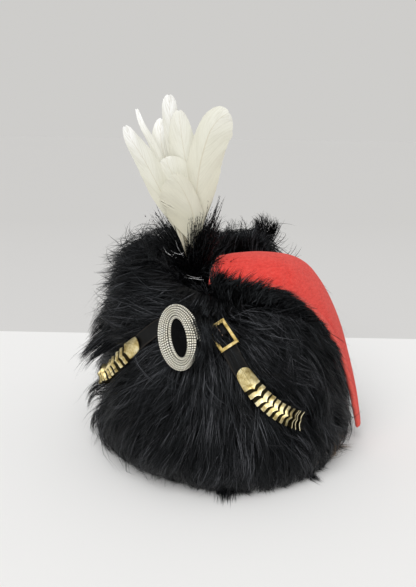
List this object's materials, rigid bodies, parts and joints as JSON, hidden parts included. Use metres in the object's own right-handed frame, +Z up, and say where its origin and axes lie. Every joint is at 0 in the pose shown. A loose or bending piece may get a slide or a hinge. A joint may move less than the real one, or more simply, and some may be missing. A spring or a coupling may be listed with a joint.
{
  "type": "busby",
  "caption": "Busby: black fur cap, open below for the head, with a red felt bag over one side, a white feather plume in a black tuft, an oval silver cord boss and a brass-scaled chin strap.",
  "frame": {"origin": "centre of the bounding box on the ground, under the head opening", "axes": "+Z up along the plume, -Y the cap's front with the boss, +X the side that the bag hangs on"},
  "size_m": [0.261, 0.274, 0.3422],
  "materials": {
    "fur": "deep fur, soft sheen",
    "crown_cloth": "matt",
    "felt": "matt felt",
    "cane": "matt",
    "black_feather": "satin barbs",
    "white_feather": "satin barbs",
    "silver_cord": "twisted metal thread, tarnished",
    "velvet": "velvet",
    "leather": "worn satin",
    "brass": "worn polish"
  },
  "bodies": {
    "root": {"fur_cap": "fur", "crown_top": "crown_cloth", "bag": "felt", "plume_stem": "cane", "plume_tuft": "black_feather", "plume_feather_1": "white_feather", "plume_feather_2": "white_feather", "plume_feather_3": "white_feather", "plume_feather_4": "white_feather", "plume_feather_5": "white_feather", "plume_feather_6": "white_feather", "plume_feather_7": "white_feather", "plume_feather_8": "white_feather", "plume_feather_9": "white_feather", "plume_feather_10": "white_feather", "boss_cord": "silver_cord", "boss_centre": "velvet", "strap_tongue": "leather", "strap_buckle_end": "leather", "buckle_frame": "brass", "buckle_prong": "brass", "scale_left_1": "brass", "scale_left_2": "brass", "scale_left_3": "brass", "scale_left_4": "brass", "scale_left_5": "brass", "scale_left_6": "brass", "scale_left_7": "brass", "scale_left_8": "brass", "scale_left_9": "brass", "scale_left_10": "brass", "scale_left_11": "brass", "scale_right_1": "brass", "scale_right_2": "brass", "scale_right_3": "brass", "scale_right_4": "brass", "scale_right_5": "brass", "scale_right_6": "brass", "scale_right_7": "brass", "scale_right_8": "brass", "scale_right_9": "brass", "scale_right_10": "brass", "scale_right_11": "brass"}
  },
  "joints": []
}
